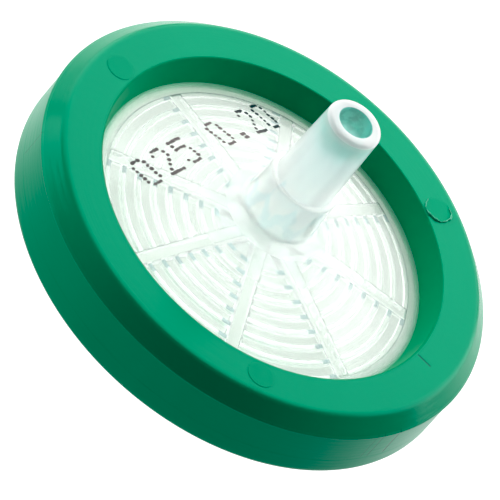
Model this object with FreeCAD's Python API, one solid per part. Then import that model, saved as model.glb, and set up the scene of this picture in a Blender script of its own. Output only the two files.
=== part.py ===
"""Syringe filter, 34 mm disc, male Luer slip outlet, female Luer lock inlet.

Two translucent polypropylene shells clamp a disc membrane. A coloured polypropylene
ring, moulded over both flanges, holds the stack together and seals the membrane's edge.
Millimetres, +Z up. The origin is the middle of the inlet hub's end face, on which
the filter stands, so the outlet tip points up.
"""
import FreeCAD, Part
import math
import os

# ---- driving dimensions -------------------------------------------------------------
HUB_PROTRUSION = 9.96        # inlet hub end to the ring's lower face
RING_HEIGHT = 5.38
TIP_PROTRUSION = 10.66       # ring's upper face to the tip's end

# Luer fittings, both with the 6 % taper: 0.03 mm of radius for each mm of length
LUER_SLOPE = 0.03
TIP_END_RADIUS = 2.0
TIP_LENGTH = 6.55
BORE_RADIUS = 1.21           # outlet bore
SOCKET_MOUTH_RADIUS = 2.15
SOCKET_DEPTH = 8.5
HUB_RADIUS = 3.3
LUG_RADIUS = 3.9
LUG_CHORD = 3.6

# overmoulded ring
RING_LIP_RADIUS = 17.03      # widest line, at the parting edge
RING_WALL_RADIUS = 16.96
RING_FACE_RADIUS = 15.89     # outer edge of the upper face
RING_OPENING_RADIUS = 13.02  # inner edge of the upper face
RING_LIP_DROP = 1.26         # height of the upper chamfer
RING_FOOT_BREAK = 0.42
EJECTOR_RADIUS = 1.0
EJECTOR_CIRCLE = 14.25
EJECTOR_PHASE = -64.5
EJECTOR_DEPTH = 0.06

# shells and membrane
WINDOW_RADIUS = 12.45        # where the ring's inner wall meets the shells
FLANGE_RADIUS = 14.6
PLATE_DROP = 2.0             # ring's upper face down to the outlet plate's rim
PLATE_RIM = 0.95             # thickness of each shell at its rim
PLATE_RISE = 2.9             # how far the outlet plate's cone rises to the boss
MEMBRANE_THICKNESS = 0.15
BOSS_RADIUS = 2.71
SHOULDER_RADIUS = 2.56

# drainage pattern under the outlet plate
GROOVE_COUNT = 8
GROOVE_FIRST = 3.15          # inner radius of the smallest ring groove
GROOVE_PITCH = 1.15
GROOVE_WIDTH = 0.43
GROOVE_DEPTH = 0.45
CHANNEL_COUNT = 8
CHANNEL_WIDTH = 1.0
CHANNEL_PHASE = 18.75
CHANNEL_RIM_DEPTH = 0.55
CHANNEL_HUB_DEPTH = 1.15

# distribution side of the inlet shell
SPACER_COUNT = 8
SPACER_WIDTH = 0.6
CHAMBER_RADIUS = 12.6
CHAMBER_DEPTH = 0.3

# ---- heights worked out from them ---------------------------------------------------
RING_BOTTOM = HUB_PROTRUSION
RING_TOP = RING_BOTTOM + RING_HEIGHT
TIP_END = RING_TOP + TIP_PROTRUSION
SHOULDER = TIP_END - TIP_LENGTH
PLATE_TOP = RING_TOP - PLATE_DROP
DRAIN_FACE = PLATE_TOP - PLATE_RIM
INLET_FACE = DRAIN_FACE - MEMBRANE_THICKNESS
FLANGE_BOTTOM = INLET_FACE - PLATE_RIM
HUB_ROOT = RING_BOTTOM - 0.86
PATTERN_EDGE = GROOVE_FIRST + GROOVE_PITCH * (GROOVE_COUNT - 1) + GROOVE_WIDTH


def outline(corners):
    """Closed wire in the XZ plane. Each corner is (radius, height) or, where its edge
    is broken, (radius, height, distance cut back along both sides)."""
    points = [FreeCAD.Vector(c[0], 0, c[1]) for c in corners]
    path = []
    for i, point in enumerate(points):
        if len(corners[i]) == 2:
            path.append(point)
            continue
        for neighbour in (points[i - 1], points[(i + 1) % len(points)]):
            path.append(point + (neighbour - point).normalize() * corners[i][2])
    return Part.makePolygon(path + path[:1])


def revolved(corners, sweep=360.0):
    face = Part.Face(outline(corners))
    return face.revolve(FreeCAD.Vector(0, 0, 0), FreeCAD.Vector(0, 0, 1), sweep)


def turned(shape, angle):
    """Copy of a shape turned about the filter's axis."""
    copy = shape.copy()
    copy.rotate(FreeCAD.Vector(0, 0, 0), FreeCAD.Vector(0, 0, 1), angle)
    return copy


def radial_bar(corners, width):
    """Bar along +X whose side view in the XZ plane has these corners."""
    face = Part.Face(outline(corners))
    face.translate(FreeCAD.Vector(0, -width / 2, 0))
    return face.extrude(FreeCAD.Vector(0, width, 0))


def luer_tip():
    """Outer corners of the male slip tip and the boss that carries it."""
    tip_root = TIP_END_RADIUS + LUER_SLOPE * TIP_LENGTH
    return [
        (TIP_END_RADIUS, TIP_END, 0.3),
        (tip_root, SHOULDER, 0.08),
        (SHOULDER_RADIUS, SHOULDER, 0.15),
        (BOSS_RADIUS, PLATE_TOP + PLATE_RISE, 0.3),
    ]


def outlet_shell():
    """Tip, boss, conical plate and clamping flange, one moulding."""
    flange = [
        (WINDOW_RADIUS, PLATE_TOP),
        (FLANGE_RADIUS, PLATE_TOP),
        (FLANGE_RADIUS, DRAIN_FACE),
    ]
    throat_radius = 1.70
    throat_height = 1.8
    bore = [
        (throat_radius, DRAIN_FACE),
        (BORE_RADIUS, DRAIN_FACE + throat_height),
        (BORE_RADIUS, TIP_END, 0.12),
    ]
    shell = revolved(bore + luer_tip() + flange)
    return shell.cut(drainage())


def drainage():
    """Ring grooves and the radial channels that cross them, as one cutting tool."""
    below = 0.5
    grooves = []
    for k in range(GROOVE_COUNT):
        inner = GROOVE_FIRST + GROOVE_PITCH * k
        outer = inner + GROOVE_WIDTH
        grooves.append(revolved([
            (inner, DRAIN_FACE - below),
            (outer, DRAIN_FACE - below),
            (outer, DRAIN_FACE + GROOVE_DEPTH),
            (inner, DRAIN_FACE + GROOVE_DEPTH),
        ]))
    channel = radial_bar([
        (0.0, DRAIN_FACE - below),
        (PATTERN_EDGE + 1, DRAIN_FACE - below),
        (PATTERN_EDGE + 1, DRAIN_FACE + CHANNEL_RIM_DEPTH),
        (0.0, DRAIN_FACE + CHANNEL_HUB_DEPTH),
    ], CHANNEL_WIDTH)
    reach = Part.makeCylinder(PATTERN_EDGE, 4, FreeCAD.Vector(0, 0, DRAIN_FACE - 2))
    channel = channel.common(reach)
    step = 360.0 / CHANNEL_COUNT
    channels = [turned(channel, CHANNEL_PHASE + step * k) for k in range(CHANNEL_COUNT)]
    return grooves[0].multiFuse(grooves[1:] + channels)


def inlet_shell():
    """Luer lock hub, conical plate and clamping flange, one moulding."""
    socket_end_radius = SOCKET_MOUTH_RADIUS - LUER_SLOPE * SOCKET_DEPTH
    feed_radius = 0.9
    feed_top = INLET_FACE - 1.1
    shell = revolved([
        (SOCKET_MOUTH_RADIUS, 0.0, 0.12),
        (HUB_RADIUS, 0.0, 0.15),
        (HUB_RADIUS, HUB_ROOT, 0.6),
        (WINDOW_RADIUS, FLANGE_BOTTOM),
        (FLANGE_RADIUS, FLANGE_BOTTOM),
        (FLANGE_RADIUS, INLET_FACE),
        (CHAMBER_RADIUS, INLET_FACE),
        (CHAMBER_RADIUS, INLET_FACE - CHAMBER_DEPTH),
        (2.0, INLET_FACE - CHAMBER_DEPTH),
        (feed_radius, feed_top),
        (feed_radius, SOCKET_DEPTH),
        (socket_end_radius, SOCKET_DEPTH, 0.2),
    ])
    return shell.multiFuse(lugs() + spacers())


def lugs():
    """Two flat lock lugs at the hub's end, opposite each other."""
    half_angle = math.degrees(math.asin(LUG_CHORD / 2 / LUG_RADIUS))
    lug = revolved([
        (2.8, 0.0),
        (LUG_RADIUS, 0.0, 0.12),
        (LUG_RADIUS, 0.75, 0.12),
        (2.8, 1.35),
    ], 2 * half_angle)
    return [turned(lug, -half_angle), turned(lug, 180 - half_angle)]


def spacers():
    """Radial ribs that keep the membrane off the inlet plate, long and short by turns."""
    bars = []
    for k in range(SPACER_COUNT):
        start = 2.6 if k % 2 == 0 else 6.0
        bar = radial_bar([
            (start, INLET_FACE - 1.2),
            (CHAMBER_RADIUS - 1.0, INLET_FACE - 0.6),
            (CHAMBER_RADIUS - 1.0, INLET_FACE),
            (start, INLET_FACE),
        ], SPACER_WIDTH)
        bars.append(turned(bar, 360.0 / SPACER_COUNT * k))
    return bars


def membrane():
    """Flat filter disc, clamped between the shells. The ring seals its edge."""
    return Part.makeCylinder(
        FLANGE_RADIUS, MEMBRANE_THICKNESS, FreeCAD.Vector(0, 0, INLET_FACE))


def overmould_ring():
    """Ring moulded round both flanges, with the marks of three ejector pins."""
    lip = RING_TOP - RING_LIP_DROP
    ring = revolved([
        (RING_OPENING_RADIUS, RING_TOP, 0.15),
        (RING_FACE_RADIUS, RING_TOP),
        (RING_LIP_RADIUS, lip),
        (RING_WALL_RADIUS, lip - 0.08),
        (RING_WALL_RADIUS, RING_BOTTOM, RING_FOOT_BREAK),
        (RING_OPENING_RADIUS - 0.17, RING_BOTTOM),
        (WINDOW_RADIUS, FLANGE_BOTTOM),
        (FLANGE_RADIUS, FLANGE_BOTTOM),
        (FLANGE_RADIUS, PLATE_TOP),
        (WINDOW_RADIUS, PLATE_TOP),
    ])
    pins = []
    for k in range(3):
        angle = math.radians(EJECTOR_PHASE + 120 * k)
        base = FreeCAD.Vector(
            EJECTOR_CIRCLE * math.cos(angle),
            EJECTOR_CIRCLE * math.sin(angle),
            RING_TOP - EJECTOR_DEPTH)
        pins.append(Part.makeCylinder(EJECTOR_RADIUS, 1.0, base))
    return ring.cut(pins)


PIECES = {
    "outlet_shell": outlet_shell,
    "inlet_shell": inlet_shell,
    "membrane": membrane,
    "overmould_ring": overmould_ring,
}

os.makedirs("parts", exist_ok=True)
for name, make in PIECES.items():
    shape = make().removeSplitter()
    solid = shape.Solids[0] if len(shape.Solids) == 1 else shape
    solid.exportStep("parts/" + name + ".step")
    box = solid.BoundBox
    print("%-15s solids %d valid %s volume %.1f mm3 z %.2f..%.2f width %.2f" % (
        name, len(shape.Solids), solid.isValid(), solid.Volume,
        box.ZMin, box.ZMax, box.XLength))
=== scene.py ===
import math

import bmesh
import bpy
from mathutils import Matrix, Vector


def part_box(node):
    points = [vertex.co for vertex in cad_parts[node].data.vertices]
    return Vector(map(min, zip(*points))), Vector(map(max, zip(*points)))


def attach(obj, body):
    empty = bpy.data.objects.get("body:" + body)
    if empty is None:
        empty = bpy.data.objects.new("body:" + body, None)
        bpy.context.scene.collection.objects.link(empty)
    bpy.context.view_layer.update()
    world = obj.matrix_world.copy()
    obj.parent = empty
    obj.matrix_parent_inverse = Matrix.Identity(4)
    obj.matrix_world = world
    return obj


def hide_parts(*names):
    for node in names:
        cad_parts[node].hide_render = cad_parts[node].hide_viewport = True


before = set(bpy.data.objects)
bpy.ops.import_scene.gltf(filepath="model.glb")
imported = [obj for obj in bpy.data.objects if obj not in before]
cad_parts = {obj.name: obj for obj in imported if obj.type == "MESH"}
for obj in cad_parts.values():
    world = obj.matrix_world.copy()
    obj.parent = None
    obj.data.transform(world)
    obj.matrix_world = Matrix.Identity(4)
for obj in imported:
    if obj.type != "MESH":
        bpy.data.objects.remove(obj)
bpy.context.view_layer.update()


# ---- inlet shell --------------------------------------------------------------------
# Underside of the filter: female Luer lock hub, conical plate and clamping flange in one
# injection moulding of natural polypropylene. Eight low spacer ribs keep the membrane
# off its floor. The green ring is moulded over its flange.
MM = 0.001
INLET_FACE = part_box("inlet_shell")[1].z / MM      # the flange's upper face
RING_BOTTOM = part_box("overmould_ring")[0].z / MM
FLANGE_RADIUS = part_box("inlet_shell")[1].x / MM
WINDOW_RADIUS = 12.45      # where the ring's inner walls meet the shells
SHELL_RIM = 0.95           # thickness of each shell at its rim
SOCKET_MOUTH = 2.15
SOCKET_DEPTH = 8.5
LUER_SLOPE = 0.03          # 6 % taper, in radius per length
HUB_RADIUS = 3.3
MOUTH_EDGE = 0.12          # rounding of the hub's mouth
CONE_DROP = 0.86           # the plate's cone meets the hub this far below the ring
LUG_REACH = 3.9
LUG_WIDTH = 3.6
LUG_TOP = 0.75
LUG_SLOPE = 0.545          # fall of a lug's upper side, in height per radius
LUG_EDGE = 0.06
LUG_EDGE_ROWS = 4
FEED_RADIUS = 0.9
FEED_FLARE = 1.1
CHAMBER_RADIUS = 12.6
CHAMBER_DEPTH = 0.3
FLOOR_START = 2.0          # part of the chamber's floor that has rows enough for ribs
FLOOR_END = CHAMBER_RADIUS - 0.35
FLOOR_ROWS = 56
SPOKES = 8                 # ribs of this shell, and channels of the outlet shell
RIB_WIDTH = 0.6
RIB_DRAFT = 0.1
RIB_LONG_START = 2.6
RIB_SHORT_START = 6.0
RIB_END = CHAMBER_RADIUS - 1
RIB_SAFE_RADIUS = 1.3      # within it a rib's sides would run together
STATION_SHARE = 0.4        # of the stations lie across a rib or a channel
INLET_STATIONS = SPOKES * 28
HAIR = 0.001               # tolerance where points are picked by their place
ARC_LEAD = 0.3             # straight lead of an arc, as a share of its radius
ARC_STEP = 14.0            # degrees of arc a facet
SHARP_EDGE = math.radians(40)


def rounded(corners):
    """Closed outline through (radius, height, rounding) corners. Each arc has a short
    straight lead at both ends, which keeps smooth shading off the flats between arcs."""
    outline = []
    for i, (r, z, rounding) in enumerate(corners):
        corner = Vector((r, z))
        if rounding == 0:
            outline.append(corner)
            continue
        back = (Vector(corners[i - 1][:2]) - corner).normalized()
        ahead = (Vector(corners[(i + 1) % len(corners)][:2]) - corner).normalized()
        turn = math.pi - back.angle(ahead)
        reach = rounding * math.tan(turn / 2)
        lead = ARC_LEAD * rounding
        centre = corner + (back + ahead).normalized() * rounding / math.cos(turn / 2)
        first = corner + back * reach - centre
        last = corner + ahead * reach - centre
        start = math.atan2(first.y, first.x)
        sweep = math.remainder(math.atan2(last.y, last.x) - start, 2 * math.pi)
        steps = max(2, math.ceil(turn / math.radians(ARC_STEP)))
        outline.append(corner + back * (reach + lead))
        for k in range(steps + 1):
            angle = start + sweep * k / steps
            outline.append(centre + rounding * Vector((math.cos(angle), math.sin(angle))))
        outline.append(corner + ahead * (reach + lead))
    return outline


def put_in_scene(name, data):
    """New object of a mesh, a light or a camera, linked to the scene."""
    item = bpy.data.objects.new(name, data)
    bpy.context.scene.collection.objects.link(item)
    return item


def turned(name, outline, stations, relief=None):
    """Closed mesh of an outline turned about the filter's axis. Points of the outline
    that relief accepts are marked for raised patterns."""
    rows = len(outline)
    angles = [2 * math.pi * j / stations for j in range(stations)]
    points = [(p.x * MM * math.cos(a), p.x * MM * math.sin(a), p.y * MM)
              for p in outline for a in angles]
    area = sum(outline[i - 1].x * outline[i].y - outline[i].x * outline[i - 1].y
               for i in range(rows))
    faces = []
    for i in range(rows):
        here = i * stations
        ahead = (i + 1) % rows * stations
        for j in range(stations):
            k = (j + 1) % stations
            face = (here + j, here + k, ahead + k, ahead + j)
            faces.append(face if area > 0 else face[::-1])
    mesh = bpy.data.meshes.new(name)
    mesh.from_pydata(points, [], faces)
    mesh.shade_smooth()
    if relief:
        marked = mesh.attributes.new("relief", "BOOLEAN", "POINT")
        marked.data.foreach_set("value", [relief(p) for p in outline for _ in angles])
    return put_in_scene(name, mesh)


def add_node(tree, kind, values=None, **settings):
    """New node. A socket among the values is linked, and anything else is set."""
    node = tree.nodes.new(kind)
    for key, value in settings.items():
        setattr(node, key, value)
    for key, value in (values or {}).items():
        if isinstance(value, bpy.types.NodeSocket):
            tree.links.new(value, node.inputs[key])
        else:
            node.inputs[key].default_value = value
    return node


def calc(tree, operation, *values):
    """Output of a math node."""
    return add_node(tree, "ShaderNodeMath", dict(enumerate(values)),
                    operation=operation).outputs[0]


def product(tree, first, *others):
    """All the values multiplied."""
    for value in others:
        first = calc(tree, "MULTIPLY", first, value)
    return first


def largest(tree, first, *others):
    """The largest of the values."""
    for value in others:
        first = calc(tree, "MAXIMUM", first, value)
    return first


def step_up(tree, value, low, high):
    """0 at low, 1 at high, and a smooth rise between. Low may be the greater number."""
    return add_node(tree, "ShaderNodeMapRange", {0: value, 1: low, 2: high},
                    interpolation_type="SMOOTHSTEP").outputs[0]


def step_mm(tree, value, low, high):
    """The same between two radii or heights in millimetres."""
    return step_up(tree, value, low * MM, high * MM)


def spread(tree, value, low, high, first, last):
    """Straight change from first, where the value is low, to last, where it is high."""
    return add_node(tree, "ShaderNodeMapRange",
                    {0: value, 1: low, 2: high, 3: first, 4: last}).outputs[0]


def parts_of(tree, vector):
    """X, Y and Z of a vector."""
    return add_node(tree, "ShaderNodeSeparateXYZ", {0: vector}).outputs


def vector(tree, x, y, z=0.0):
    """Vector of three values."""
    return add_node(tree, "ShaderNodeCombineXYZ", {0: x, 1: y, 2: z}).outputs[0]


def round_axis(tree, radius, angle, height):
    """Place at a distance from the axis, an angle round it and a height."""
    return vector(tree, product(tree, radius, calc(tree, "COSINE", angle)),
                  product(tree, radius, calc(tree, "SINE", angle)), height)


def axis_distance(tree, place):
    """Distance from the filter's axis."""
    across = add_node(tree, "ShaderNodeVectorMath", {0: place, 1: (1, 1, 0)}, operation="MULTIPLY")
    return add_node(tree, "ShaderNodeVectorMath", {0: across.outputs[0]},
                    operation="LENGTH").outputs["Value"]


def new_pattern(name, numbers, counts=()):
    """New geometry tree with number, count and material inputs. Gives it and its inputs."""
    tree = bpy.data.node_groups.new(name, "GeometryNodeTree")
    sockets = tree.interface
    sockets.new_socket("Geometry", in_out="OUTPUT", socket_type="NodeSocketGeometry")
    sockets.new_socket("Geometry", in_out="INPUT", socket_type="NodeSocketGeometry")
    for number in numbers:
        sockets.new_socket(number, in_out="INPUT", socket_type="NodeSocketFloat")
    for count in counts:
        sockets.new_socket(count, in_out="INPUT", socket_type="NodeSocketInt")
    sockets.new_socket("Material", in_out="INPUT", socket_type="NodeSocketMaterial")
    return tree, add_node(tree, "NodeGroupInput").outputs


def end_pattern(tree, given, geometry):
    """Ends a geometry tree: instances made real, then the material."""
    whole = add_node(tree, "GeometryNodeRealizeInstances", {"Geometry": geometry})
    done = add_node(tree, "GeometryNodeSetMaterial",
                    {"Geometry": whole.outputs[0], "Material": given["Material"]})
    add_node(tree, "NodeGroupOutput", {0: done.outputs[0]})
    return tree


def radial_pattern_tree():
    """Lifts straight radial bars out of a turned surface. Round the axis it first moves
    the surface's stations, so that a bunch of them follows the sides of every bar."""
    tree, given = new_pattern("radial_pattern", (
        "Count", "Phase", "Width", "Wall", "Base height", "Inner rise", "Outer rise",
        "Long start", "Short start", "End", "Station share", "Safe radius"))
    position = add_node(tree, "GeometryNodeInputPosition").outputs[0]
    place = parts_of(tree, position)
    radius = axis_distance(tree, position)
    sector = calc(tree, "DIVIDE", 2 * math.pi, given["Count"])
    half = product(tree, sector, 0.5)
    turn = calc(tree, "SUBTRACT", calc(tree, "ARCTAN2", place[1], place[0]), given["Phase"])
    off = calc(tree, "WRAP", turn, half, product(tree, half, -1.0))
    bar_angle = calc(tree, "SUBTRACT", turn, off)
    reach = calc(tree, "DIVIDE", calc(tree, "ABSOLUTE", off), half)

    # stations: a share of them lies across the bar, bunched towards its sides
    edge = calc(tree, "MULTIPLY_ADD", given["Width"], 0.5, product(tree, given["Wall"], 0.5))
    safe = calc(tree, "MAXIMUM", radius, given["Safe radius"])
    within = calc(tree, "MINIMUM", calc(tree, "DIVIDE", reach, given["Station share"]), 1.0)
    across = product(tree, edge, calc(tree, "SQRT", within))
    near = calc(tree, "ARCSINE", calc(tree, "DIVIDE", across, safe))
    beyond = spread(tree, reach, given["Station share"], 1.0, 0.0, 1.0)
    side = calc(tree, "ARCSINE", calc(tree, "DIVIDE", edge, safe))
    far = product(tree, beyond, calc(tree, "SUBTRACT", half, side))
    swing = product(tree, calc(tree, "ADD", near, far), calc(tree, "SIGN", off))
    angle = calc(tree, "ADD", calc(tree, "ADD", bar_angle, swing), given["Phase"])

    # height: full inside the bar, nothing outside it, drafted sides between
    bar_number = calc(tree, "ROUND", calc(tree, "ABSOLUTE", calc(tree, "DIVIDE", bar_angle, sector)))
    odd = calc(tree, "MODULO", bar_number, 2.0)
    later = calc(tree, "SUBTRACT", given["Short start"], given["Long start"])
    start = calc(tree, "MULTIPLY_ADD", odd, later, given["Long start"])
    aside = product(tree, safe, calc(tree, "SINE", calc(tree, "ABSOLUTE", swing)))
    flank = step_up(tree, calc(tree, "SUBTRACT", edge, aside), 0.0, given["Wall"])
    inner = step_up(tree, radius, start, calc(tree, "ADD", start, given["Wall"]))
    outer = step_up(tree, calc(tree, "SUBTRACT", given["End"], radius), 0.0, given["Wall"])
    rise = spread(tree, radius, given["Long start"], given["End"], given["Inner rise"], given["Outer rise"])
    lift = product(tree, rise, flank, inner, outer)
    lifted = calc(tree, "MAXIMUM", place[2], calc(tree, "ADD", given["Base height"], lift))
    marked = add_node(tree, "GeometryNodeInputNamedAttribute", {"Name": "relief"}, data_type="BOOLEAN")
    height = add_node(tree, "GeometryNodeSwitch",
                      {"Switch": marked.outputs["Attribute"], "False": place[2], "True": lifted},
                      input_type="FLOAT").outputs[0]
    moved = round_axis(tree, radius, angle, height)
    shaped = add_node(tree, "GeometryNodeSetPosition", {"Geometry": given["Geometry"], "Position": moved})
    return end_pattern(tree, given, shaped.outputs[0])


def run_tree(piece, tree, values):
    """Runs a geometry tree on a piece and keeps the result as its plain mesh."""
    modifier = piece.modifiers.new(tree.name, "NODES")
    modifier.node_group = tree
    for item in tree.interface.items_tree:
        if item.in_out == "INPUT" and item.name in values:
            modifier[item.identifier] = values[item.name]
    depsgraph = bpy.context.evaluated_depsgraph_get()
    mesh = bpy.data.meshes.new_from_object(piece.evaluated_get(depsgraph), depsgraph=depsgraph)
    piece.modifiers.remove(modifier)
    before = piece.data
    piece.data = mesh
    bpy.data.meshes.remove(before)
    mesh.name = piece.name


def new_material(name, values):
    """New material with values set on its shader. Gives it, its node tree and its shader."""
    material = bpy.data.materials.new(name)
    material.use_nodes = True
    shader = material.node_tree.nodes["Principled BSDF"]
    for socket, value in values.items():
        shader.inputs[socket].default_value = value
    return material, material.node_tree, shader


def object_place(tree):
    """Place on the piece, in its own coordinates."""
    return add_node(tree, "ShaderNodeTexCoord").outputs["Object"]


def noise(tree, place, scale, detail):
    """Cloudy pattern from 0 to 1, mostly near 0.5."""
    return add_node(tree, "ShaderNodeTexNoise",
                    {"Vector": place, "Scale": scale, "Detail": detail}).outputs["Fac"]


def blend(tree, share, first, second):
    """Mix of two colours, each a socket or red, green and blue."""
    mix = add_node(tree, "ShaderNodeMix", {0: share}, data_type="RGBA")
    for socket, colour in ((6, first), (7, second)):
        if isinstance(colour, bpy.types.NodeSocket):
            tree.links.new(colour, mix.inputs[socket])
        else:
            mix.inputs[socket].default_value = (*colour, 1)
    return mix.outputs[2]


def small_bumps(tree, strength, depth, height, under=None, **settings):
    """Normal with small bumps of a depth in millimetres, over the bumps under them."""
    values = {"Strength": strength, "Distance": depth * MM, "Height": height}
    if under is not None:
        values["Normal"] = under
    return add_node(tree, "ShaderNodeBump", values, **settings).outputs[0]


# Natural polypropylene, the same in both shells. A veil is the share of the light that the
# milky plastic scatters and doesn't let through. Pairs of sizes are where a look starts and
# where it is full.
PLASTIC_IOR = 1.49
BORE_RADIUS = 1.21         # of the outlet shell
DRAIN_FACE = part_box("outlet_shell")[0].z / MM
TIP_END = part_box("outlet_shell")[1].z / MM
PLATE_TOP = DRAIN_FACE + SHELL_RIM
CHANNEL_PHASE = -71.25     # degrees from +X to one of the outlet shell's radial channels
TUBE_RADIUS = 2.7          # the thick tubes on the axis end here, and the plates begin
TUBE_EDGE = 0.35
TUBE_SCATTER = 1.2         # how far light spreads in the tubes
EVEN_SCATTER = (1.0, 1.0, 1.0)
TUBE_VEIL = 0.65           # at the tip's end
BOSS_VEIL = 0.3
BOSS_VEIL_HEIGHT = 2.0     # over the drain face
HUB_VEIL = 0.3             # of the plates, beside the tubes
RIM_VEIL = 0.12
HAZE_VEIL = 0.36           # milkier plastic round the boss's foot
HAZE_RADIUS = 6.5
SKIN_DEPTH = 0.05
GLOW_TONE = (0.96, 1.0, 0.98, 1)
# painted glow of the outlet tube and of the upright walls of the plate's ways
PAINTED_TUBE_GLOW = 0.08
PAINTED_WALL_GLOW = 0.34
CHANNEL_SHARE = 0.75       # of that glow, on the channels' sides
UPRIGHT = (0.7, 0.4)       # the normal's Z on walls that count as upright
CONCENTRIC = (0.5, 0.8)    # the normal's outward part on walls that run round the axis
GROOVE_GLOW_FADE = (0.42, 0.12)        # heights over the drain face
CHANNEL_GLOW_FADE = (1.3, 1.1)
WAYS_FLOOR = (-0.02, -0.01)
WAYS_RADIUS = (12.2, 12.0)
# painted grey-blue shade at the ends of the ring grooves beside the channels
GROOVE_END_ROOF = (0.40, 0.42)         # heights of the grooves' roofs beside a channel
GROOVE_END_TOP = (0.50, 0.47)
GROOVE_END_NEAR = (0.45, 0.55)         # distances from the channel's middle line
GROOVE_END_FAR = (1.25, 1.0)
GROOVE_END_SHADE_VEIL = 0.6
# painted reflection of the green ring in the tip's bore
BORE_SKIN = (BORE_RADIUS + 0.1, BORE_RADIUS + 0.02)
BORE_GREEN = (TIP_END - 3.0, TIP_END - 1.2)
MOUTH_RIM = (TIP_END - 0.5, TIP_END - 0.2)
MOUTH_RIM_VEIL = 0.9
WISP_START = (TIP_END - 3.4, TIP_END - 1.2)
WISP_END = (TIP_END - 0.35, TIP_END - 0.8)
WISP_STRETCH = (900.0, 900.0, 260.0)
RIM_BAND = 11.6            # beyond it the plates show the lathe's rings of the mould
RIM_BAND_FADE = 0.6
LATHE_PITCH = 5000.0       # rings per metre of radius
FACET_CREST = DRAIN_FACE + 5.0         # painted refraction: peaks of blue light in the boss, over the channels
FACET_SLOPE = 2.0
FACET_STRAY = 6.0
FACET_START = (0.0, 0.7)
FACET_STOP = (2.0, 1.2)
PEAK_REFRACTION_VEIL = 0.38
BRINK_RADIUS = 12.1        # beyond it the plates are painted green, for the ring's reflected light
BRINK_VEIL = 0.5
CLOUD = (420.0, 3.0)       # a pattern's scale and detail
DRIFT = (150.0, 1.0)
WISPS = (1.0, 2.0)
DAPPLE = (1500.0, 3.0)
SHELL_SKIN = (2600.0, 2.0)
HALF_CUT = (0.4, 0.6)      # where a pattern turns from one tone to the other
DRIFT_CUT = (0.42, 0.62)
WISP_CUT = (0.35, 0.65)
SHELL_SKIN_BUMPS = (0.25, 0.02)        # strength and depth
RIM_RING_BUMPS = (0.6, 0.03)
SHELL_ROUGHNESS = (0.10, 0.16)
PLATE_TONES = ((0.935, 0.985, 0.945), (0.965, 0.995, 0.97))
LATHE_TONES = ((0.66, 0.9, 0.77), (0.97, 1.0, 0.98))
TUBE_TONES = ((0.98, 0.985, 0.96), (0.88, 0.965, 0.97))
BORE_REFLECTED_GREENS = ((0.0, 0.38, 0.30), (0.05, 0.52, 0.43))
WISP_TONE = (0.80, 0.935, 0.94)
PEAK_REFRACTION_TONE = (0.78, 0.905, 0.94)
HUB_SHADE_TONE = (0.66, 0.77, 0.76)          # painted shade: the long hub under the filter is greyer than the tip
GROOVE_END_SHADE_TONE = (0.46, 0.62, 0.64)
HAZE_TONE = (0.82, 0.87, 0.84)
BRINK_REFLECTED_GREEN = (0.30, 0.72, 0.50)


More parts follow.
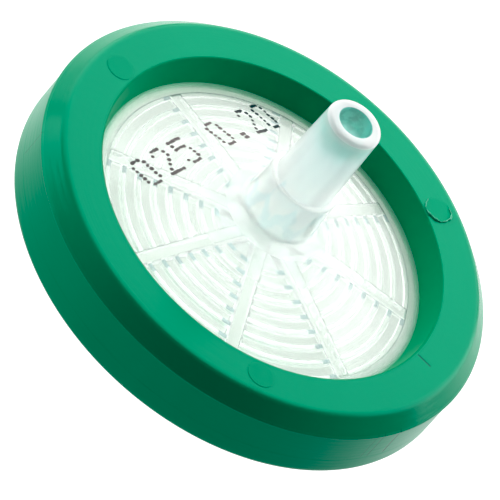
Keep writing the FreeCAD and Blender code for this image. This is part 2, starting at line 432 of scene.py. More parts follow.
def natural_polypropylene(name):
    """Uncoloured polypropylene: clear with a milky veil, least at the plates' rims, more
    round the boss's foot and most at the tip's end. Painted green in the bore of the tip
    and at the plates' brink stands for the ring's reflected light; a painted glow lights
    the tube and the upright walls of the plate's ways, painted grey-blue shade marks the
    groove ends beside the channels, and painted blue peaks of refraction show in the boss."""
    material, tree, shader = new_material(name, {
        "IOR": PLASTIC_IOR, "Subsurface Radius": EVEN_SCATTER, "Subsurface Scale": TUBE_SCATTER * MM,
        "Emission Color": GLOW_TONE,
    })
    place = object_place(tree)
    spot = parts_of(tree, place)
    height = spot[2]
    radius = axis_distance(tree, place)
    cloud = noise(tree, place, *CLOUD)
    upper_side = step_mm(tree, height, INLET_FACE, DRAIN_FACE)
    skin_side = step_mm(tree, height, PLATE_TOP - SKIN_DEPTH, PLATE_TOP)
    on_plate = step_mm(tree, radius, TUBE_RADIUS, TUBE_RADIUS + TUBE_EDGE)
    on_tube = calc(tree, "SUBTRACT", 1.0, on_plate)
    tree.links.new(on_tube, shader.inputs["Subsurface Weight"])
    haze = product(tree, step_mm(tree, radius, HAZE_RADIUS, TUBE_RADIUS), skin_side)
    painted_brink_green = step_mm(tree, radius, BRINK_RADIUS, WINDOW_RADIUS)
    rim = step_mm(tree, radius, RIM_BAND, RIM_BAND + RIM_BAND_FADE)
    painted_bore_green = product(tree, step_mm(tree, radius, *BORE_SKIN), step_mm(tree, height, *BORE_GREEN))
    mouth_rim = step_mm(tree, height, *MOUTH_RIM)

    # painted glow: the upright walls of the plate's ways glow as bright lines, for light trapped in the
    # plate
    normal = add_node(tree, "ShaderNodeNewGeometry").outputs["True Normal"]
    upright = step_up(tree, calc(tree, "ABSOLUTE", parts_of(tree, normal)["Z"]), *UPRIGHT)
    radial = add_node(tree, "ShaderNodeVectorMath", {0: place, 1: (1, 1, 0)},
                      operation="MULTIPLY").outputs[0]
    outwards = add_node(tree, "ShaderNodeVectorMath", {0: radial}, operation="NORMALIZE").outputs[0]
    facing = add_node(tree, "ShaderNodeVectorMath", {0: normal, 1: outwards}, operation="DOT_PRODUCT")
    concentric = step_up(tree, calc(tree, "ABSOLUTE", facing.outputs["Value"]), *CONCENTRIC)
    up = calc(tree, "DIVIDE", calc(tree, "SUBTRACT", height, DRAIN_FACE * MM), MM)
    groove_side = product(tree, concentric, step_up(tree, up, *GROOVE_GLOW_FADE))
    channel_side = product(tree, upright, step_up(tree, up, *CHANNEL_GLOW_FADE), CHANNEL_SHARE)
    painted_wall_glow = product(tree, largest(tree, groove_side, channel_side), step_up(tree, up, *WAYS_FLOOR),
                        step_mm(tree, radius, *WAYS_RADIUS), PAINTED_WALL_GLOW)
    # painted glow of the outlet tube, for light it carries up from the bench
    painted_tube_glow = product(tree, on_tube, upper_side, PAINTED_TUBE_GLOW)
    tree.links.new(largest(tree, painted_wall_glow, painted_tube_glow), shader.inputs["Emission Strength"])

    # painted shade: the ends of the ring grooves on one side of each channel, set by the sign of X, are
    # painted grey-blue
    turn = calc(tree, "SUBTRACT", calc(tree, "ARCTAN2", spot[1], spot[0]), math.radians(CHANNEL_PHASE))
    off = calc(tree, "WRAP", turn, math.pi / SPOKES, -math.pi / SPOKES)
    aside = product(tree, off, radius)
    beside = product(tree, aside, calc(tree, "SIGN", spot[0]), -1.0)
    groove_end_shade = product(
        tree, step_mm(tree, beside, *GROOVE_END_NEAR), step_mm(tree, beside, *GROOVE_END_FAR),
        step_up(tree, up, *GROOVE_END_ROOF), step_up(tree, up, *GROOVE_END_TOP))

    # painted refraction: the channels' ends under the boss are painted into it as ragged blue peaks
    stray = product(tree, calc(tree, "SUBTRACT", cloud, 0.5), FACET_STRAY * MM)
    peak = calc(tree, "MULTIPLY_ADD", calc(tree, "ABSOLUTE", aside), FACET_SLOPE, stray)
    fold = calc(tree, "ADD", peak, calc(tree, "SUBTRACT", height, FACET_CREST * MM))
    painted_peaks = product(tree, step_mm(tree, fold, *FACET_START), step_mm(tree, fold, *FACET_STOP), on_tube)

    plate_veil = spread(tree, radius, TUBE_RADIUS * MM, WINDOW_RADIUS * MM, HUB_VEIL, RIM_VEIL)
    plate_veil = largest(tree, plate_veil, product(tree, haze, HAZE_VEIL))
    tube_veil = spread(tree, height, (DRAIN_FACE + BOSS_VEIL_HEIGHT) * MM, TIP_END * MM,
                       BOSS_VEIL, TUBE_VEIL)
    veil = calc(tree, "MULTIPLY_ADD", on_plate, calc(tree, "SUBTRACT", plate_veil, tube_veil), tube_veil)
    veil = largest(tree, veil, product(tree, groove_end_shade, GROOVE_END_SHADE_VEIL), painted_bore_green,
                   product(tree, mouth_rim, MOUTH_RIM_VEIL), product(tree, painted_peaks, PEAK_REFRACTION_VEIL),
                   product(tree, painted_brink_green, BRINK_VEIL))
    tree.links.new(calc(tree, "SUBTRACT", 1.0, veil), shader.inputs["Transmission Weight"])

    rings = product(tree, radius, LATHE_PITCH)
    tool_marks = add_node(tree, "ShaderNodeTexNoise", {"W": rings, "Detail": 1.0},
                          noise_dimensions="1D").outputs["Fac"]
    plate = blend(tree, cloud, *PLATE_TONES)
    plate = blend(tree, rim, plate, blend(tree, step_up(tree, tool_marks, *HALF_CUT), *LATHE_TONES))
    plate = blend(tree, groove_end_shade, plate, GROOVE_END_SHADE_TONE)
    plate = blend(tree, haze, plate, HAZE_TONE)
    drawn = add_node(tree, "ShaderNodeMapping", {"Vector": place, "Scale": WISP_STRETCH}).outputs[0]
    wisps = product(tree, step_mm(tree, height, *WISP_START), step_mm(tree, height, *WISP_END),
                    step_up(tree, noise(tree, drawn, *WISPS), *WISP_CUT))
    tube = blend(tree, step_up(tree, noise(tree, place, *DRIFT), *DRIFT_CUT), *TUBE_TONES)
    tube = blend(tree, wisps, tube, WISP_TONE)
    tube = blend(tree, painted_peaks, tube, PEAK_REFRACTION_TONE)
    # painted shade on the long hub under the filter
    tube = blend(tree, upper_side, HUB_SHADE_TONE, tube)
    tone = blend(tree, on_plate, tube, plate)
    # painted reflection of the green ring in the bore, dappled
    bore_green_reflection = blend(tree, step_up(tree, noise(tree, place, *DAPPLE), *HALF_CUT), *BORE_REFLECTED_GREENS)
    tone = blend(tree, painted_bore_green, tone, bore_green_reflection)
    tone = blend(tree, painted_brink_green, tone, BRINK_REFLECTED_GREEN)
    tree.links.new(tone, shader.inputs["Base Color"])

    tree.links.new(spread(tree, cloud, 0.0, 1.0, *SHELL_ROUGHNESS), shader.inputs["Roughness"])
    skin = small_bumps(tree, *SHELL_SKIN_BUMPS, noise(tree, place, *SHELL_SKIN))
    ringed = small_bumps(tree, *RIM_RING_BUMPS, product(tree, tool_marks, rim), skin)
    tree.links.new(ringed, shader.inputs["Normal"])
    return material


lug_half_angle = math.asin(LUG_WIDTH / 2 / LUG_REACH)
lug_root = LUG_TOP + LUG_SLOPE * (LUG_REACH - HUB_RADIUS)
flange_bottom = INLET_FACE - SHELL_RIM
socket_floor_radius = SOCKET_MOUTH - LUER_SLOPE * SOCKET_DEPTH
chamber_floor = INLET_FACE - CHAMBER_DEPTH
lug_edge_rows = [(HUB_RADIUS, LUG_TOP - LUG_EDGE + 2 * LUG_EDGE * k / LUG_EDGE_ROWS, 0)
                 for k in range(LUG_EDGE_ROWS + 1)]
floor_rows = [(FLOOR_START + (FLOOR_END - FLOOR_START) * k / FLOOR_ROWS, chamber_floor, 0)
              for k in range(FLOOR_ROWS, -1, -1)]
inlet_outline = rounded([
    (SOCKET_MOUTH, 0.0, MOUTH_EDGE),
    (HUB_RADIUS, 0.0, MOUTH_EDGE),
    *lug_edge_rows,
    (HUB_RADIUS, lug_root, 0),
    (HUB_RADIUS, RING_BOTTOM - CONE_DROP, 0.9),
    (WINDOW_RADIUS, flange_bottom, 0.3),
    (FLANGE_RADIUS, flange_bottom, 0.05),
    (FLANGE_RADIUS, INLET_FACE, 0.05),
    (CHAMBER_RADIUS, INLET_FACE, 0.05),
    (CHAMBER_RADIUS, chamber_floor, 0.12),
    *floor_rows,
    (FEED_RADIUS, INLET_FACE - FEED_FLARE, 0.2),
    (FEED_RADIUS, SOCKET_DEPTH, 0.05),
    (socket_floor_radius, SOCKET_DEPTH, 0.25),
])
inlet_shell = turned("inlet_moulding", inlet_outline, INLET_STATIONS,
                     lambda p: abs(p.y - chamber_floor) < HAIR and p.x > FLOOR_START - HAIR)
natural_plastic = natural_polypropylene("natural_polypropylene")
pattern = radial_pattern_tree()
run_tree(inlet_shell, pattern, {
    "Count": float(SPOKES), "Phase": 0.0, "Width": RIB_WIDTH * MM, "Wall": RIB_DRAFT * MM,
    "Base height": chamber_floor * MM, "Inner rise": CHAMBER_DEPTH * MM, "Outer rise": CHAMBER_DEPTH * MM,
    "Long start": RIB_LONG_START * MM, "Short start": RIB_SHORT_START * MM, "End": RIB_END * MM,
    "Station share": STATION_SHARE, "Safe radius": RIB_SAFE_RADIUS * MM, "Material": natural_plastic,
})

# two lock lugs, drawn out of the hub's wall at its mouth
hub_skin = HUB_RADIUS - MOUTH_EDGE - HAIR
for vertex in inlet_shell.data.vertices:
    point = vertex.co / MM
    from_axis = Vector((point.x, point.y)).length
    if from_axis < hub_skin or point.z > lug_root or abs(point.y / from_axis) > math.sin(lug_half_angle):
        continue
    share = min(1.0, (lug_root - point.z) / (lug_root - LUG_TOP))
    stretch = 1 + (LUG_REACH - HUB_RADIUS) * share / from_axis
    vertex.co.x *= stretch
    vertex.co.y *= stretch
inlet_shell.data.set_sharp_from_angle(angle=SHARP_EDGE)
inlet_shell.visible_shadow = False
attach(inlet_shell, "root")
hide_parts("inlet_shell")


# ---- membrane -----------------------------------------------------------------------
# Disc of white porous film, cut from a sheet and laid between the shells, a hair clear of
# both in this model. The ring seals its edge.
FILM_CLEARANCE = 0.012
FILM_RADIUS = FLANGE_RADIUS - 0.1
FILM_EDGE = 0.03
FILM_STATIONS = 180
FILM_TONE = (0.685, 0.73, 0.69)
PATCH_GAIN = 1.04          # some patches of the film are this much whiter
# painted green glow at the film's rim, for the ring's light
RIM_GREEN_GLOW = (0.85, 1.0, 0.85)
RIM_GREEN_GLOW_BAND = (RIM_BAND - 0.1, RIM_BAND + 0.3)
FILM_GLOW = 0.30           # painted glow for light that comes through the film from below
FILM_GLOW_SPAN = (0.35 * FILM_GLOW, 1.55 * FILM_GLOW)      # painted glow away from, and towards, GLOW_SIDE
GLOW_SIDE = (-0.93, 0.37, 0.0)
FILM_SPECULAR = 0.2
FILM_SCATTER = 0.15
PORES = (9000.0, 2.0)
PATCHES = (260.0, 3.0)
PORE_BUMPS = (0.4, 0.01)
FILM_ROUGHNESS = (0.75, 0.95)

film_bottom = INLET_FACE + FILM_CLEARANCE
film_top = DRAIN_FACE - FILM_CLEARANCE
membrane = turned("filter_membrane", rounded([
    (0.0, film_bottom, 0),
    (FILM_RADIUS, film_bottom, FILM_EDGE),
    (FILM_RADIUS, film_top, FILM_EDGE),
    (0.0, film_top, 0),
]), FILM_STATIONS)


def close_poles(piece):
    """Merges the points that a turned mesh has on the axis and drops edges left bare."""
    work = bmesh.new()
    work.from_mesh(piece.data)
    bmesh.ops.remove_doubles(work, verts=work.verts, dist=1e-8)
    bare = [e for e in work.edges if len(e.link_faces) == 0]
    bmesh.ops.delete(work, geom=bare, context="EDGES")
    work.to_mesh(piece.data)
    work.free()


close_poles(membrane)
white_film, tree, shader = new_material("porous_white_film", {
    "Specular IOR Level": FILM_SPECULAR, "Subsurface Weight": 1.0, "Subsurface Radius": EVEN_SCATTER,
    "Subsurface Scale": FILM_SCATTER * MM,
})
place = object_place(tree)
pores = noise(tree, place, *PORES)
patch_tone = tuple(c * PATCH_GAIN for c in FILM_TONE)
film = blend(tree, noise(tree, place, *PATCHES), FILM_TONE, patch_tone)
tree.links.new(film, shader.inputs["Base Color"])
# painted green glow near the ring
rim = step_mm(tree, axis_distance(tree, place), *RIM_GREEN_GLOW_BAND)
tree.links.new(blend(tree, rim, film, RIM_GREEN_GLOW), shader.inputs["Emission Color"])
# painted glow, brighter towards GLOW_SIDE, for light that comes through the film from below
towards_glow = add_node(tree, "ShaderNodeVectorMath", {0: place, 1: GLOW_SIDE}, operation="DOT_PRODUCT")
from_below = spread(tree, towards_glow.outputs["Value"],
                    -WINDOW_RADIUS * MM, WINDOW_RADIUS * MM, *FILM_GLOW_SPAN)
tree.links.new(from_below, shader.inputs["Emission Strength"])
tree.links.new(spread(tree, pores, 0.0, 1.0, *FILM_ROUGHNESS), shader.inputs["Roughness"])
tree.links.new(small_bumps(tree, *PORE_BUMPS, pores), shader.inputs["Normal"])
membrane.data.materials.append(white_film)
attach(membrane, "root")
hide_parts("membrane")


# ---- outlet shell -------------------------------------------------------------------
# Slip tip, boss, conical plate and clamping flange in one injection moulding of natural
# polypropylene. Ring grooves and eight radial channels in its underside drain the
# membrane, and they show through the plate.
PLATE_RISE = 2.9
TIP_END_RADIUS = 2.0
TIP_LENGTH = 6.55
SHOULDER_RADIUS = 2.56
BOSS_RADIUS = 2.71
THROAT_RADIUS = 1.70
THROAT_HEIGHT = 1.8
GROOVE_COUNT = 8
GROOVE_FIRST = 3.15
GROOVE_PITCH = 1.15
GROOVE_WIDTH = 0.43
GROOVE_DEPTH = 0.45
GROOVE_DRAFT = 0.03
CHANNEL_WIDTH = 1.0
CHANNEL_DRAFT = 0.14
CHANNEL_HUB_DEPTH = 1.15
CHANNEL_RIM_DEPTH = 0.55
CHANNEL_SAFE_RADIUS = 1.62
MARKED_FROM = THROAT_RADIUS - 0.1      # the channels are cut into points beyond it
MARKED_MARGIN = 0.2
OUTLET_STATIONS = SPOKES * 30

groove_corners = []
for k in reversed(range(GROOVE_COUNT)):
    inner = GROOVE_FIRST + GROOVE_PITCH * k
    outer = inner + GROOVE_WIDTH
    roof = DRAIN_FACE + GROOVE_DEPTH
    groove_corners += [
        (outer, DRAIN_FACE, 0.05),
        (outer - GROOVE_DRAFT, roof, 0.09),
        (inner + GROOVE_DRAFT, roof, 0.09),
        (inner, DRAIN_FACE, 0.05),
    ]
pattern_edge = GROOVE_FIRST + GROOVE_PITCH * (GROOVE_COUNT - 1) + GROOVE_WIDTH
shoulder = TIP_END - TIP_LENGTH
outlet_outline = rounded([
    (BORE_RADIUS, TIP_END, 0.08),
    (TIP_END_RADIUS, TIP_END, 0.3),
    (TIP_END_RADIUS + LUER_SLOPE * TIP_LENGTH, shoulder, 0.1),
    (SHOULDER_RADIUS, shoulder, 0.18),
    (BOSS_RADIUS, PLATE_TOP + PLATE_RISE, 0.4),
    (WINDOW_RADIUS + 0.1, PLATE_TOP - 0.03, 0.0),
    (FLANGE_RADIUS, PLATE_TOP, 0.05),
    (FLANGE_RADIUS, DRAIN_FACE, 0.05),
    *groove_corners,
    (THROAT_RADIUS, DRAIN_FACE, 0.05),
    (BORE_RADIUS, DRAIN_FACE + THROAT_HEIGHT, 0.5),
])
underside = DRAIN_FACE + GROOVE_DEPTH + HAIR
outlet_shell = turned("outlet_moulding", outlet_outline, OUTLET_STATIONS,
                      lambda p: p.y < underside and MARKED_FROM < p.x < pattern_edge + MARKED_MARGIN)
run_tree(outlet_shell, pattern, {
    "Count": float(SPOKES), "Phase": math.radians(CHANNEL_PHASE), "Width": CHANNEL_WIDTH * MM,
    "Wall": CHANNEL_DRAFT * MM, "Base height": DRAIN_FACE * MM, "Inner rise": CHANNEL_HUB_DEPTH * MM,
    "Outer rise": CHANNEL_RIM_DEPTH * MM, "Long start": 0.0, "Short start": 0.0, "End": pattern_edge * MM,
    "Station share": STATION_SHARE, "Safe radius": CHANNEL_SAFE_RADIUS * MM, "Material": natural_plastic,
})
outlet_shell.visible_shadow = False
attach(outlet_shell, "root")
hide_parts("outlet_shell")


# ---- overmoulded ring ---------------------------------------------------------------
# Green polypropylene, injected round both flanges in a second shot, so it grips them and
# seals the membrane's edge. Three ejector pins left low round pads on the upper face, and
# a thin bead of flash crept up round one of them.
RING_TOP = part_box("overmould_ring")[1].z / MM
RING_LIP_RADIUS = 17.03
RING_WALL_RADIUS = 16.94
RING_BAND_RADIUS = 16.948
RING_FACE_RADIUS = 15.89
RING_OPENING_RADIUS = 13.02
RING_UNDERSIDE_RADIUS = RING_OPENING_RADIUS - 0.17
RING_LIP_DROP = 1.26
RING_LIP_FALL = 0.1        # the wall starts this far below the lip
WITNESS_DROP = 3.75
WITNESS_FALL = 0.05
RING_STATIONS = 360
GRIP = 0.02                # the two mouldings overlap so far, so that no faces coincide
PIN_COUNT = 3
PIN_PHASE = -64.5
PIN_CIRCLE = 14.25
PIN_RADIUS = 1.0
PIN_RISE = 0.025
PIN_FACETS = 64
FLASH_FROM = -200.0        # degrees round the second pin
FLASH_TO = 75.0
FLASH_RADIUS = 0.07
FLASH_LEAST = 0.003
FLASH_STEPS = 96
FLASH_SIDES = 12
FLASH_HEIGHT = 1.5         # of the bead's section, for its width
FLASH_SEAT = 0.2           # its middle stands so much of its thickness over the pad
FLASH_TAPER = 8.0
FLASH_MEAN = 0.7
FLASH_SWELL = ((0.25, 17, 1), (0.2, 43, 0), (0.12, 97, 0))     # waves: height, pace, start
FLASH_WANDER = ((0.03, 23, 2), (0.015, 61, 0))

lip = RING_TOP - RING_LIP_DROP
witness = RING_TOP - WITNESS_DROP
ring_outline = rounded([
    (RING_OPENING_RADIUS, RING_TOP, 0.16),
    (RING_FACE_RADIUS, RING_TOP, 0.5),
    (RING_LIP_RADIUS, lip, 0.1),
    (RING_WALL_RADIUS, lip - RING_LIP_FALL, 0.03),
    (RING_WALL_RADIUS, witness, 0.02),
    (RING_BAND_RADIUS, witness - WITNESS_FALL, 0.02),
    (RING_BAND_RADIUS, RING_BOTTOM, 0.56),
    (RING_UNDERSIDE_RADIUS, RING_BOTTOM, 0.15),
    (WINDOW_RADIUS, flange_bottom + GRIP, 0.0),
    (FLANGE_RADIUS - GRIP, flange_bottom + GRIP, 0.0),
    (FLANGE_RADIUS - GRIP, PLATE_TOP - GRIP, 0.0),
    (WINDOW_RADIUS, PLATE_TOP - GRIP, 0.0),
])
ring = turned("green_ring", ring_outline, RING_STATIONS)


def pin_mark_tree():
    """Raises the low round pads that evenly spaced ejector pins leave on the upper face."""
    tree, given = new_pattern("pin_marks", ("Phase", "Circle radius", "Pin radius", "Face height", "Rise"),
                              ("Count",))
    index = add_node(tree, "GeometryNodeInputIndex").outputs[0]
    sector = calc(tree, "DIVIDE", 2 * math.pi, given["Count"])
    angle = calc(tree, "MULTIPLY_ADD", index, sector, given["Phase"])
    spot = round_axis(tree, given["Circle radius"], angle, given["Face height"])
    spots = add_node(tree, "GeometryNodePoints", {"Count": given["Count"], "Position": spot})
    pin = add_node(tree, "GeometryNodeMeshCylinder", {
        "Vertices": PIN_FACETS, "Radius": given["Pin radius"],
        "Depth": product(tree, given["Rise"], 2.0),
    })
    pins = add_node(tree, "GeometryNodeInstanceOnPoints",
                    {"Points": spots.outputs[0], "Instance": pin.outputs["Mesh"]})
    solid_pins = add_node(tree, "GeometryNodeRealizeInstances", {"Geometry": pins.outputs[0]})
    both = add_node(tree, "GeometryNodeMeshBoolean", operation="UNION", solver="EXACT")
    for part in (given["Geometry"], solid_pins.outputs[0]):
        tree.links.new(part, both.inputs["Mesh 2"])
    return end_pattern(tree, given, both.outputs[0])


def waves(share, rows):
    """Sum of sine waves along a path, at a share of its length."""
    return sum(height * math.sin(pace * share + start) for height, pace, start in rows)


def add_flash(piece, pin_middle):
    """Adds the thin uneven bead round the worn edge of one ejector pin."""
    work = bmesh.new()
    work.from_mesh(piece.data)
    work.faces.ensure_lookup_table()
    green_slot = work.faces[0].material_index
    sides = [2 * math.pi * side / FLASH_SIDES for side in range(FLASH_SIDES)]
    loops = []
    for step in range(FLASH_STEPS + 1):
        share = step / FLASH_STEPS
        turn = math.radians(FLASH_FROM + (FLASH_TO - FLASH_FROM) * share)
        out = Vector((math.cos(turn), math.sin(turn), 0))
        swell = FLASH_MEAN + waves(share, FLASH_SWELL)
        end_taper = min(1, FLASH_TAPER * share, FLASH_TAPER * (1 - share))
        thick = FLASH_RADIUS * swell * end_taper + FLASH_LEAST
        middle = pin_middle + out * (PIN_RADIUS + waves(share, FLASH_WANDER))
        middle.z += FLASH_SEAT * thick
        section = [out * math.cos(a) + Vector((0, 0, FLASH_HEIGHT * math.sin(a))) for a in sides]
        loops.append([work.verts.new((middle + thick * corner) * MM) for corner in section])
    bead = [work.faces.new(reversed(loops[0])), work.faces.new(loops[-1])]
    for near, far in zip(loops, loops[1:]):
        for side in range(FLASH_SIDES):
            after = (side + 1) % FLASH_SIDES
            bead.append(work.faces.new((near[side], near[after], far[after], far[side])))
    bmesh.ops.recalc_face_normals(work, faces=bead)
    for face in bead:
        face.smooth = True
        face.material_index = green_slot
    work.to_mesh(piece.data)
    work.free()


def line(tree, value, centre, half_width, core=0.3):
    """1 on a thin line where a value meets its centre, 0 beside it. The core is the share
    of its half width that is full."""
    off = calc(tree, "ABSOLUTE", calc(tree, "SUBTRACT", value, centre))
    return step_up(tree, off, half_width, half_width * core)


def between(tree, value, low, high, edge):
    """1 between two radii or heights and 0 beyond them. It rises over an edge from low on,
    and falls over the same edge past high."""
    return product(tree, step_mm(tree, value, low, low + edge), step_mm(tree, value, high + edge, high))


GREEN_TONES = ((0.0, 0.35, 0.15), (0.0, 0.39, 0.17))
DARK_GREEN = (0.0, 0.09, 0.05)
# painted shade: the inner wall is a darker, yellower green
SHADED_INNER_GREEN = (0.0, 0.31, 0.115)
# paler crest of the flash: partly thin, paler plastic and partly a painted highlight
FLASH_HIGHLIGHT_TONE = (0.16, 0.60, 0.38)
GLOSS_TINT = (0.0, 1.0, 0.6, 1)
# Weld lines on the outer wall, where the plastic's flows met: degrees round from +X, half
# width and strength.
WELD_LINES = [
    (-23.0, 0.09, 1.0),
    (-28.0, 0.06, 0.7),
    (-30.0, 0.05, 0.5),
    (-153.0, 0.06, 0.5),
]
WELD_LINE_END = 0.3        # over which a weld line fades at its ends
WALL_START = (RING_FACE_RADIUS + 0.4, RING_FACE_RADIUS + 0.5)
OUTER_WALL = (RING_WALL_RADIUS - 0.1, RING_WALL_RADIUS - 0.05)
INNER_WALL = (RING_OPENING_RADIUS + 0.2, RING_OPENING_RADIUS + 0.02)
OFF_FACE = (RING_FACE_RADIUS, RING_FACE_RADIUS + 0.2)
ON_FACE = (RING_TOP - 0.05, RING_TOP - 0.02)
ON_PAD = (RING_TOP + 0.4 * PIN_RISE, RING_TOP + 0.6 * PIN_RISE)
FLASH_CREST = (RING_TOP + PIN_RISE + 0.02, RING_TOP + PIN_RISE + 0.06)
NICK_ANGLE = -4.3
NICK_HALF_WIDTH = 0.11
NICK_SPAN = (13.2, 14.35)
NICK_END = 0.1
GREEN_CLOUD = (180.0, 4.0)
GREEN_SKIN = (2200.0, 3.0)
FACE_RINGS = (1.0, 2.0)
WALL_STREAKS = (1.0, 4.0)
GREEN_SKIN_BUMPS = (0.2, 0.02)
FACE_RING_BUMPS = (0.25, 0.02)
WALL_STREAK_BUMPS = (0.4, 0.04)
MARK_BUMPS = (0.2, 0.03)
GREEN_ROUGHNESS = (0.20, 0.27)
MATT_GAIN = 0.25           # roughness that the inner wall and the pads have more
OUTER_WALL_MATT = 0.3      # share of that on the outer wall
SPECULAR = 0.5
INNER_WALL_LOSS = 0.4      # of the specular level, on walls that see little of the room
OUTER_WALL_LOSS = 0.08
CHAMFER_LOSS = 0.2
STREAKS_ROUND = 7.0        # per radian
STREAKS_UP = 4200.0        # per metre of height

green_plastic, tree, shader = new_material(
    "green_polypropylene", {"IOR": PLASTIC_IOR, "Specular Tint": GLOSS_TINT})
place = object_place(tree)
spot = parts_of(tree, place)
height = spot[2]
radius = axis_distance(tree, place)
angle = calc(tree, "ARCTAN2", spot[1], spot[0])
inner_wall = step_mm(tree, radius, *INNER_WALL)
outer_wall = step_mm(tree, radius, *OUTER_WALL)
off_face = step_mm(tree, radius, *OFF_FACE)

weld_lines = 0.0
for where, width, strength in WELD_LINES:
    mark = product(tree, line(tree, angle, math.radians(where), width / RING_WALL_RADIUS), strength)
    weld_lines = largest(tree, mark, weld_lines)
on_wall = product(tree, between(tree, height, witness, lip, WELD_LINE_END),
                  step_mm(tree, radius, *WALL_START))
nick = product(tree, line(tree, angle, math.radians(NICK_ANGLE), NICK_HALF_WIDTH / PIN_CIRCLE),
               between(tree, radius, *NICK_SPAN, NICK_END), step_mm(tree, height, *ON_FACE))
dark = largest(tree, product(tree, weld_lines, on_wall), nick)
cloud = noise(tree, place, *GREEN_CLOUD)
tone = blend(tree, cloud, *GREEN_TONES)
tone = blend(tree, dark, tone, DARK_GREEN)
# painted highlight on the flash's crest, partly paler thin plastic
tone = blend(tree, step_mm(tree, height, *FLASH_CREST), tone, FLASH_HIGHLIGHT_TONE)
# painted shade on the inner wall
tone = blend(tree, inner_wall, tone, SHADED_INNER_GREEN)
tree.links.new(tone, shader.inputs["Base Color"])

duller = largest(tree, inner_wall, step_mm(tree, height, *ON_PAD),
                 product(tree, outer_wall, OUTER_WALL_MATT))
rough = calc(tree, "MULTIPLY_ADD", duller, MATT_GAIN, spread(tree, cloud, 0.0, 1.0, *GREEN_ROUGHNESS))
tree.links.new(rough, shader.inputs["Roughness"])
chamfer = calc(tree, "SUBTRACT", off_face, outer_wall)
sheen_loss = largest(tree, product(tree, inner_wall, INNER_WALL_LOSS),
                     product(tree, outer_wall, OUTER_WALL_LOSS), product(tree, chamfer, CHAMFER_LOSS))
tree.links.new(calc(tree, "SUBTRACT", SPECULAR, sheen_loss), shader.inputs["Specular IOR Level"])

skin = small_bumps(tree, *GREEN_SKIN_BUMPS, noise(tree, place, *GREEN_SKIN))
polar = vector(tree, product(tree, radius, LATHE_PITCH), angle)
turned_face = small_bumps(tree, *FACE_RING_BUMPS, noise(tree, polar, *FACE_RINGS), skin)
round_wall = vector(tree, product(tree, angle, STREAKS_ROUND), product(tree, height, STREAKS_UP))
streaks = product(tree, noise(tree, round_wall, *WALL_STREAKS), off_face)
drawn = small_bumps(tree, *WALL_STREAK_BUMPS, streaks, turned_face)
tree.links.new(small_bumps(tree, *MARK_BUMPS, dark, drawn, invert=True), shader.inputs["Normal"])

run_tree(ring, pin_mark_tree(), {
    "Count": PIN_COUNT, "Phase": math.radians(PIN_PHASE), "Circle radius": PIN_CIRCLE * MM,
    "Pin radius": PIN_RADIUS * MM, "Face height": RING_TOP * MM, "Rise": PIN_RISE * MM,
    "Material": green_plastic,
})
second_pin = math.radians(PIN_PHASE + 360 / PIN_COUNT)
add_flash(ring, Vector((PIN_CIRCLE * math.cos(second_pin), PIN_CIRCLE * math.sin(second_pin),
                        RING_TOP + PIN_RISE)))
ring.data.set_sharp_from_angle(angle=SHARP_EDGE)
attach(ring, "root")
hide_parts("overmould_ring")


# ---- printed numbers ----------------------------------------------------------------
# Plain numbers on the outlet plate, jetted as rows of dots of dark ink that stand a few
# microns proud. The drops land a little unevenly.
PRINTED = "025 0.20"
DOT_ROWS = {
    "0": (" ### ", "#   #", "#   #", "#   #", "#   #", "#   #", " ### "),
    "2": (" ### ", "#   #", "    #", "   # ", "  #  ", " #   ", "#####"),
    "5": ("#####", "#    ", "#### ", "    #", "    #", "#   #", " ### "),
    ".": ("     ", "     ", "     ", "     ", "     ", " ##  ", " ##  "),
    " ": (),
}
MIDDLE_COLUMN = 2
MIDDLE_ROW = 3
FIRST_GLYPH = Vector((-8.28, -3.98))
GLYPH_ADVANCE = 1.87
COLUMN_PITCH = 0.255
ROW_PITCH = 0.36
READING_ANGLE = math.radians(75.2)     # round from +X
DOT_RADIUS = 0.15
DOT_HEIGHT = 0.012
DOT_FACETS = 14
DOT_SIZES = (0.8, 1.15)
DOT_STRAY = 0.03
DOT_SEED = 4
INK_TONES = ((0.15, 0.10, 0.10), (0.26, 0.19, 0.19))
WET_INK_TONE = (0.015, 0.015, 0.02)    # the last numbers took more ink
WET_INK_FROM = (4.0, 8.5)              # along Y
INK_SPECULAR = 0.3
INK_BLOTCHES = (3500.0, 3.0)
INK_ROUGHNESS = (0.45, 0.7)


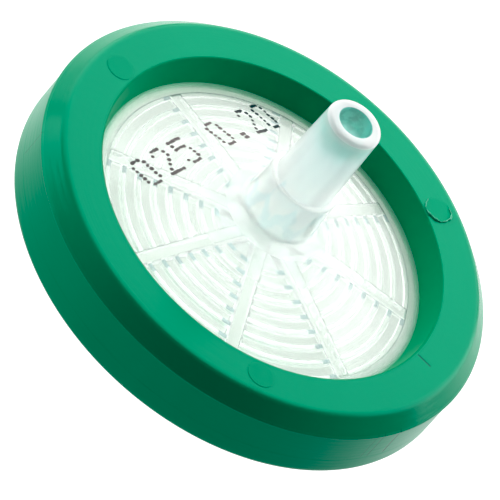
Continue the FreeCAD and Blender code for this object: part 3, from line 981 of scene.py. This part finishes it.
def dot_tree():
    """Puts a flat drop of ink on each point, unevenly, and lays it on the cone."""
    tree, given = new_pattern("ink_dots", (
        "Dot radius", "Dot height", "Scatter", "Cone foot", "Foot radius", "Cone slope"), ("Seed",))
    back = product(tree, given["Scatter"], -1.0)
    low = vector(tree, back, back)
    high = vector(tree, given["Scatter"], given["Scatter"])
    shift = add_node(tree, "FunctionNodeRandomValue", {0: low, 1: high, "Seed": given["Seed"]},
                     data_type="FLOAT_VECTOR").outputs[0]
    strayed = add_node(tree, "GeometryNodeSetPosition", {"Geometry": given["Geometry"], "Offset": shift})
    place = add_node(tree, "GeometryNodeInputPosition").outputs[0]
    radius = axis_distance(tree, place)
    height = calc(tree, "MULTIPLY_ADD", calc(tree, "SUBTRACT", given["Foot radius"], radius),
                  given["Cone slope"], given["Cone foot"])
    spot = parts_of(tree, place)
    on_cone = vector(tree, spot[0], spot[1], height)
    laid = add_node(tree, "GeometryNodeSetPosition", {"Geometry": strayed.outputs[0], "Position": on_cone})
    steep = calc(tree, "DIVIDE", given["Cone slope"], radius)
    upright = vector(tree, product(tree, spot[0], steep), product(tree, spot[1], steep), 1.0)
    tilt = add_node(tree, "FunctionNodeAlignRotationToVector", {"Vector": upright}, axis="Z")
    size = add_node(tree, "FunctionNodeRandomValue",
                    {2: DOT_SIZES[0], 3: DOT_SIZES[1], "Seed": given["Seed"]}, data_type="FLOAT")
    drop = add_node(tree, "GeometryNodeMeshCylinder", {
        "Vertices": DOT_FACETS, "Radius": given["Dot radius"], "Depth": given["Dot height"]})
    dots = add_node(tree, "GeometryNodeInstanceOnPoints", {
        "Points": laid.outputs[0], "Instance": drop.outputs["Mesh"], "Rotation": tilt.outputs[0],
        "Scale": size.outputs[1],
    })
    return end_pattern(tree, given, dots.outputs[0])


reading = Vector((math.cos(READING_ANGLE), math.sin(READING_ANGLE)))
upwards = Vector((-reading.y, reading.x))
drops = []
for place_in_line, glyph in enumerate(PRINTED):
    centre = FIRST_GLYPH + reading * GLYPH_ADVANCE * place_in_line
    for row, marks in enumerate(DOT_ROWS[glyph]):
        for column, mark in enumerate(marks):
            if mark == "#":
                along = reading * COLUMN_PITCH * (column - MIDDLE_COLUMN)
                drop = centre + along + upwards * ROW_PITCH * (MIDDLE_ROW - row)
                drops.append((drop.x * MM, drop.y * MM, 0.0))
numbers_mesh = bpy.data.meshes.new("printed_numbers")
numbers_mesh.from_pydata(drops, [], [])
numbers = put_in_scene("printed_numbers", numbers_mesh)

ink, tree, shader = new_material("brown_black_ink", {"Specular IOR Level": INK_SPECULAR})
place = object_place(tree)
blotch = noise(tree, place, *INK_BLOTCHES)
wet = step_mm(tree, parts_of(tree, place)["Y"], *WET_INK_FROM)
tree.links.new(blend(tree, wet, blend(tree, blotch, *INK_TONES), WET_INK_TONE), shader.inputs["Base Color"])
tree.links.new(spread(tree, blotch, 0.0, 1.0, *INK_ROUGHNESS), shader.inputs["Roughness"])
run_tree(numbers, dot_tree(), {
    "Dot radius": DOT_RADIUS * MM, "Dot height": DOT_HEIGHT * MM, "Scatter": DOT_STRAY * MM,
    "Cone foot": PLATE_TOP * MM, "Foot radius": WINDOW_RADIUS * MM,
    "Cone slope": PLATE_RISE / (WINDOW_RADIUS - BOSS_RADIUS), "Seed": DOT_SEED, "Material": ink,
})
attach(numbers, "root")


# ---- studio -------------------------------------------------------------------------
# Plain pale bench and soft light: a bright sweep all round, whose bench looks dimmer in
# gloss on its near side, at -Y, and five soft panels behind, above and beside.
CAMERA_PLACE = Vector((0.0, -363.8, 323.84))
CAMERA_RIGHT = Vector((0.75327, 0.42796, 0.49944))
CAMERA_UP = Vector((-0.65771, 0.49076, 0.57146))
CAMERA_LENS = 517.1
CAMERA_FILM = 36.0
CAMERA_NEAR = 10.0
BENCH_HALF = 3000.0
WHITE = (1, 1, 1, 1)
BENCH_TONE = (0.3, 0.3, 0.3, 1)
BENCH_ROUGHNESS = 0.9
BENCH_GLOW = 1.0
DIM_FRONT = 0.25           # share of that glow that gloss shows of the bench's near side
DIM_FROM = -12.0           # along Y
DIM_TO = 6.0
LIGHT_FROM_BELOW = 0.6
HORIZON = 0.05
SEEN_THROUGH = 0.9         # how bright the surroundings look through the clear plastic
PANEL_DISTANCE = 200.0
PANEL_AIM = 14.0           # height that the panels face
# Panels: name, degrees round from the back to the right, degrees above the bench, degrees
# wide and high as the filter sees them, and radiance.
SOFT_PANELS = [
    ("top_panel", 0, 66, 120, 26, 1.6),
    ("back_panel", 0, 27, 45, 50, 2.2),
    ("right_panel", 45, 27, 45, 50, 3.0),
    ("left_panel", -45, 27, 45, 50, 2.2),
    ("side_panel", -90, 12, 45, 24, 3.9),
]
BLACK_LEVEL = (0.03, 0.0, 0.0)         # takes a little red out of dark greens

half = BENCH_HALF * MM
bench_mesh = bpy.data.meshes.new("bench")
bench_mesh.from_pydata([(-half, -half, 0), (half, -half, 0), (half, half, 0), (-half, half, 0)],
                       [], [(0, 1, 2, 3)])
floor = put_in_scene("bench", bench_mesh)
pale, tree, shader = new_material("pale_bench", {
    "Base Color": BENCH_TONE, "Emission Color": WHITE, "Roughness": BENCH_ROUGHNESS,
    "Specular IOR Level": 0.0,
})
depth = parts_of(tree, object_place(tree))["Y"]
path = add_node(tree, "ShaderNodeLightPath").outputs
mirrored = product(tree, path["Is Glossy Ray"], calc(tree, "SUBTRACT", 1.0, path["Is Transmission Ray"]))
dimmed = spread(tree, depth, DIM_FROM * MM, DIM_TO * MM, DIM_FRONT - 1, 0.0)
tree.links.new(calc(tree, "MULTIPLY_ADD", mirrored, dimmed, BENCH_GLOW), shader.inputs["Emission Strength"])
bench_mesh.materials.append(pale)
floor.visible_diffuse = False
floor.visible_shadow = False

world = bpy.data.worlds.new("studio")
bpy.context.scene.world = world
world.use_nodes = True
tree = world.node_tree
sky = tree.nodes["Background"]
sky.inputs["Color"].default_value = WHITE
direction = add_node(tree, "ShaderNodeTexCoord").outputs["Generated"]
glow = spread(tree, parts_of(tree, direction)["Z"], -HORIZON, HORIZON, LIGHT_FROM_BELOW, 0.0)
path = add_node(tree, "ShaderNodeLightPath").outputs
undimmed = product(tree, path["Is Transmission Ray"], calc(tree, "LESS_THAN", path["Diffuse Depth"], 0.5))
seen = largest(tree, path["Is Camera Ray"], product(tree, undimmed, SEEN_THROUGH))
tree.links.new(largest(tree, glow, seen), sky.inputs["Strength"])

for name, round_deg, up_deg, wide_deg, high_deg, radiance in SOFT_PANELS:
    turn = math.radians(round_deg)
    climb = math.radians(up_deg)
    direction = Vector((math.sin(turn) * math.cos(climb), math.cos(turn) * math.cos(climb), math.sin(climb)))
    panel = bpy.data.lights.new(name, "AREA")
    panel.shape = "RECTANGLE"
    panel.size = PANEL_DISTANCE * MM * math.radians(wide_deg) * math.cos(climb)
    panel.size_y = PANEL_DISTANCE * MM * math.radians(high_deg)
    panel.energy = radiance * math.pi * panel.size * panel.size_y
    panel_object = put_in_scene(name, panel)
    panel_object.location = direction * (PANEL_DISTANCE * MM) + Vector((0, 0, PANEL_AIM * MM))
    panel_object.rotation_mode = "QUATERNION"
    panel_object.rotation_quaternion = direction.to_track_quat("Z", "Y")
    panel_object.visible_camera = False
    panel_object.visible_transmission = False

camera_data = bpy.data.cameras.new("camera")
camera_data.lens = CAMERA_LENS
camera_data.sensor_width = CAMERA_FILM
camera_data.clip_start = CAMERA_NEAR * MM
camera = put_in_scene("camera", camera_data)
camera_back = CAMERA_RIGHT.cross(CAMERA_UP)
camera_origin = [distance * MM for distance in CAMERA_PLACE]
camera.matrix_world = Matrix([*zip(CAMERA_RIGHT, CAMERA_UP, camera_back, camera_origin), (0, 0, 0, 1)])
bpy.context.scene.camera = camera
colours = bpy.context.scene.view_settings
colours.view_transform = "Standard"
colours.use_curve_mapping = True
colours.curve_mapping.black_level = BLACK_LEVEL
colours.curve_mapping.update()
